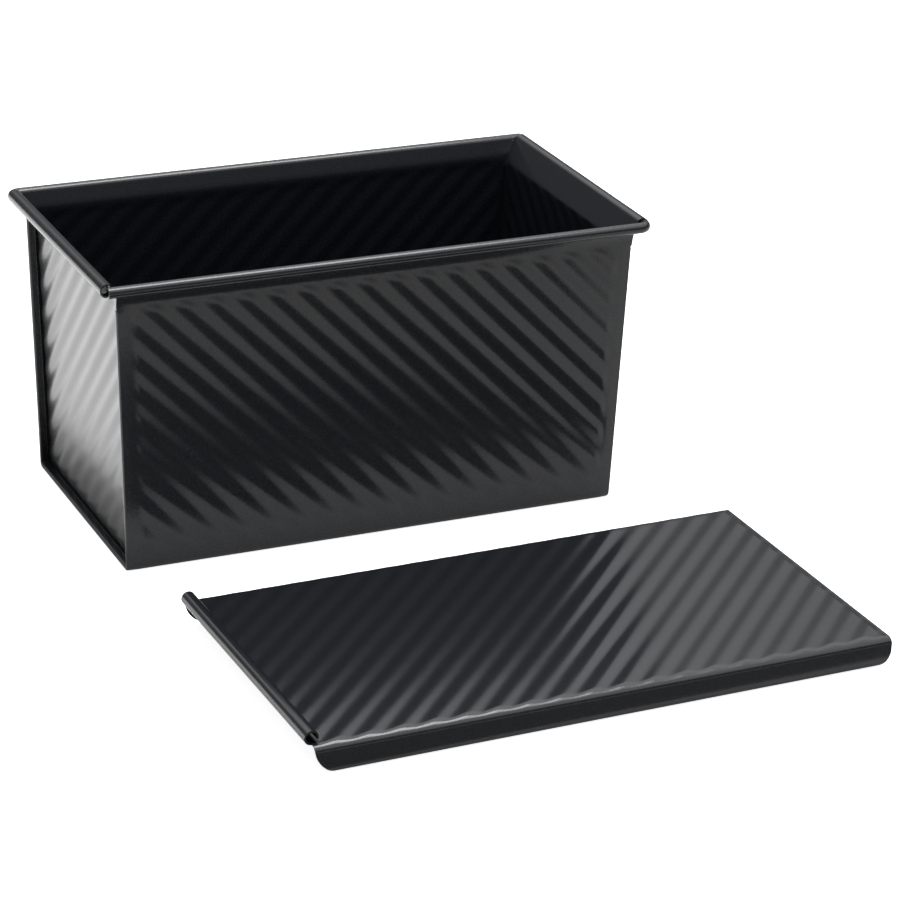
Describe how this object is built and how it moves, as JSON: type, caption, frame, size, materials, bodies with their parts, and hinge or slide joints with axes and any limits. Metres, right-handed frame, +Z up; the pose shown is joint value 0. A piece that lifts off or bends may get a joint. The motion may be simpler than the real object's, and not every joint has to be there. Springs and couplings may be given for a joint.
{
  "type": "loaf pan",
  "caption": "Straight-sided loaf pan of ribbed coated steel sheet with hemmed seams and a wired rim, and its ribbed sliding lid with a channel along each long edge and a curled grip.",
  "frame": {"origin": "middle of the pan's flat base, on the surface that the pan and its lid stand on", "axes": "+X along the pan's length, towards the lid's open end; +Y across it, away from the lid; +Z up, out of the pan's mouth"},
  "size_m": [0.2268, 0.2691, 0.1101],
  "materials": {
    "pan_coating": "black non-stick coating, semi-gloss, on steel sheet",
    "rim_wire": "bare drawn steel wire",
    "lid_coating": "black non-stick coating, semi-gloss, on steel sheet"
  },
  "bodies": {
    "pan": {"body_sheet": "pan_coating", "left_end_panel": "pan_coating", "right_end_panel": "pan_coating", "rim_wire": "rim_wire"},
    "lid": {"lid": "lid_coating"}
  },
  "joints": [
    {"name": "lid_lift", "type": "slide", "parent": "pan", "child": "lid", "axis": [0, 0, 1], "range_m": [0, 0.12]}
  ]
}
